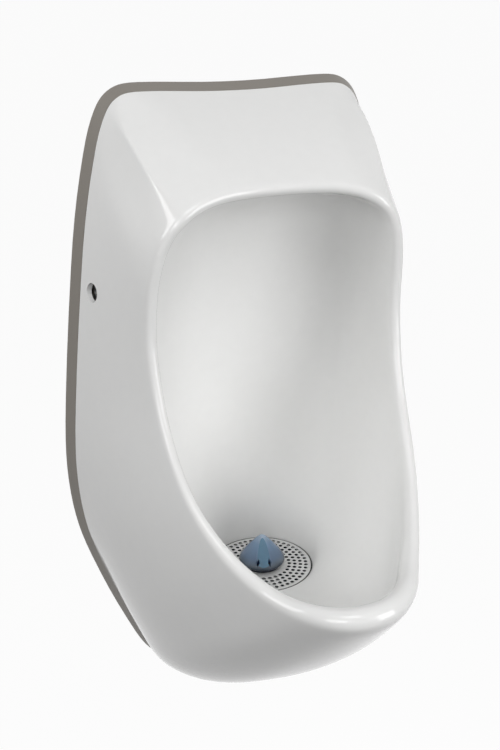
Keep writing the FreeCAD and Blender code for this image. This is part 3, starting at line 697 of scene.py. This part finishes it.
MATS = {
    "shell_white": material("shell_white", (0.88, 0.88, 0.872), 0.10, scale=90.0, bump=0.012, vary=0.006),
    "plate_grey": material("plate_grey", (0.235, 0.215, 0.19), 0.42, scale=900.0, bump=0.12),
    # dark rubber; on the edge strip between plate and bowl it stands in for the shadow in that gap, painted
    # shade
    "gasket_dark": material("gasket_dark", (0.030, 0.030, 0.030), 0.6, scale=700.0, bump=0.15),
    "steel": material("steel", (0.45, 0.46, 0.47), 0.35, metal=1.0, scale=500.0),
    "bracket_grey": material("bracket_grey", (0.15, 0.15, 0.145), 0.5, scale=800.0, bump=0.1),
    "cup_black": material("cup_black", (0.012, 0.012, 0.013), 0.35, scale=700.0, bump=0.08),
    "screw_steel": material("screw_steel", (0.62, 0.63, 0.64), 0.22, metal=1.0, scale=600.0),
    "disc_white": material("disc_white", (0.74, 0.74, 0.735), 0.22, coat=0.3, vary=0.01),
    "cone_blue": material("cone_blue", (0.10, 0.17, 0.29), 0.18, coat=0.4, scale=200.0, bump=0.02,
                          Transmission_Weight=0.25),
    "collar_dark": material("collar_dark", (0.010, 0.014, 0.028), 0.4, scale=500.0, bump=0.08),
    "block_blue": material("block_blue", (0.05, 0.12, 0.35), 0.8, scale=400.0, bump=0.4),
    "trap_white": material("trap_white", (0.66, 0.66, 0.65), 0.3, scale=400.0, bump=0.04),
    "float_grey": material("float_grey", (0.36, 0.37, 0.38), 0.35, scale=400.0, bump=0.04),
    "valve_clear": material("valve_clear", (0.5, 0.5, 0.47), 0.3, scale=300.0, bump=0.03),
    "drain_grey": material("drain_grey", (0.09, 0.095, 0.10), 0.45, scale=700.0, bump=0.08),
}


# painted shade at the cone's foot and on its facet, painted light at its tip
paint_cone_shade_and_light(MATS["cone_blue"])
# painted shade: dark inside the cartridge's cup, and in the strainer's holes and under the strainer
paint_shade_inside(MATS["trap_white"], CUP_NECK_R, 0.0, PAINTED_SHADE)
paint_shade_inside(MATS["disc_white"], DISC_R - DISC_RIM + 0.5, TRAP_Z - 0.4, PAINTED_SHADE)     # painted shade just under its face: the walls of the holes and the underside


def dress_nodes():
    """The pieces that stay as they are take the material of their slot."""
    slots = {row["node"]: row["material_slot"] for row in frame["record"]["subparts"]}
    for name, ob in frame["nodes"].items():
        ob.data.materials.clear()
        ob.data.materials.append(MATS[slots[name]])


# ------------------------------------------------------------------ light and floor
FLOOR_Z, FLOOR_HALF = -0.95, 80.0
FLOOR_BOUNCE, FLOOR_SHADOW = 0.10, 0.05       # light it throws back; share of it that a shadow darkens
SKY = (0.0, 0.5, 0.10, 0.55)                  # from where to where along Y it brightens, and its strengths
LIT_POINT = (0, -0.1, 0)                      # what every light points at
# name, place, width and height, power
LIGHTS = (("key", (1.2, -1.6, 0.35), (0.9, 1.2), 18),
          ("over", (0, -1.3, 2.0), (0.9, 0.9), 8.5),
          ("front", (-1.0, -2.0, 0.9), (0.9, 0.9), 13),
          ("side", (-1.7, -0.45, 1.25), (0.8, 1.2), 13))


def seen_directly(nt):
    """1 for rays that show the background itself: from the camera, off gloss and through glass."""
    path = nt.nodes.new("ShaderNodeLightPath")
    total = path.outputs["Is Camera Ray"]
    for name in ("Is Glossy Ray", "Is Transmission Ray"):
        add = nt.nodes.new("ShaderNodeMath")
        add.operation, add.use_clamp = "ADD", True
        nt.links.new(total, add.inputs[0])
        nt.links.new(path.outputs[name], add.inputs[1])
        total = add.outputs[0]
    return total


def make_world():
    """White where it is seen; as light it is dim in front of the object and brighter behind it."""
    w = bpy.data.worlds.new("world")
    bpy.context.scene.world = w
    w.use_nodes = True
    nt = w.node_tree
    nt.nodes.clear()
    out = nt.nodes.new("ShaderNodeOutputWorld")
    seen, soft = nt.nodes.new("ShaderNodeBackground"), nt.nodes.new("ShaderNodeBackground")
    seen.inputs["Color"].default_value = (1, 1, 1, 1)
    at, axes = nt.nodes.new("ShaderNodeTexCoord"), nt.nodes.new("ShaderNodeSeparateXYZ")
    nt.links.new(at.outputs["Generated"], axes.inputs[0])
    span = nt.nodes.new("ShaderNodeMapRange")
    for key, value in zip(("From Min", "From Max", "To Min", "To Max"), SKY):
        span.inputs[key].default_value = value
    nt.links.new(axes.outputs["Y"], span.inputs["Value"])
    nt.links.new(span.outputs["Result"], soft.inputs["Strength"])
    mix = nt.nodes.new("ShaderNodeMixShader")
    nt.links.new(seen_directly(nt), mix.inputs["Fac"])
    nt.links.new(soft.outputs[0], mix.inputs[1])
    nt.links.new(seen.outputs[0], mix.inputs[2])
    nt.links.new(mix.outputs[0], out.inputs[0])


def make_floor():
    """Plain floor, white where it is seen but for the shadow on it, and dark as a source of light."""
    me = bpy.data.meshes.new("floor")
    corners = [(x * FLOOR_HALF, y * FLOOR_HALF, FLOOR_Z) for x, y in ((-1, -1), (1, -1), (1, 1), (-1, 1))]
    me.from_pydata(corners, [], [(0, 1, 2, 3)])
    ob = bpy.data.objects.new("floor", me)
    bpy.context.scene.collection.objects.link(ob)
    m = bpy.data.materials.new("floor")
    m.use_nodes = True
    nt = m.node_tree
    bsdf = nt.nodes["Principled BSDF"]
    bsdf.inputs["Base Color"].default_value = (FLOOR_BOUNCE, FLOOR_BOUNCE, FLOOR_BOUNCE, 1)
    bsdf.inputs["Roughness"].default_value = 0.9
    pale, glow = nt.nodes.new("ShaderNodeBsdfDiffuse"), nt.nodes.new("ShaderNodeEmission")
    pale.inputs["Color"].default_value = (0.95, 0.95, 0.95, 1)
    white, mix = nt.nodes.new("ShaderNodeMixShader"), nt.nodes.new("ShaderNodeMixShader")
    white.inputs["Fac"].default_value = 1 - FLOOR_SHADOW
    nt.links.new(pale.outputs[0], white.inputs[1])
    nt.links.new(glow.outputs[0], white.inputs[2])
    nt.links.new(seen_directly(nt), mix.inputs["Fac"])
    nt.links.new(bsdf.outputs[0], mix.inputs[1])
    nt.links.new(white.outputs[0], mix.inputs[2])
    nt.links.new(mix.outputs[0], nt.nodes["Material Output"].inputs["Surface"])
    me.materials.append(m)


def area(name, at, size, power):
    """Rectangular light."""
    data = bpy.data.lights.new(name, "AREA")
    data.shape, data.size, data.size_y = "RECTANGLE", size[0], size[1]
    data.energy = power
    ob = bpy.data.objects.new(name, data)
    ob.location = at
    ob.rotation_euler = (Vector(LIT_POINT) - Vector(at)).to_track_quat("-Z", "Y").to_euler()
    bpy.context.scene.collection.objects.link(ob)


def make_lights():
    for light in LIGHTS:
        area(*light)


# ------------------------------------------------------------------ build
make_camera()
bpy.context.scene.view_settings.view_transform = "Standard"
dress_nodes()
make_bowl(MATS["shell_white"])
make_strainer(MATS["disc_white"])
make_cone(MATS["cone_blue"])
make_world()
make_floor()
make_lights()
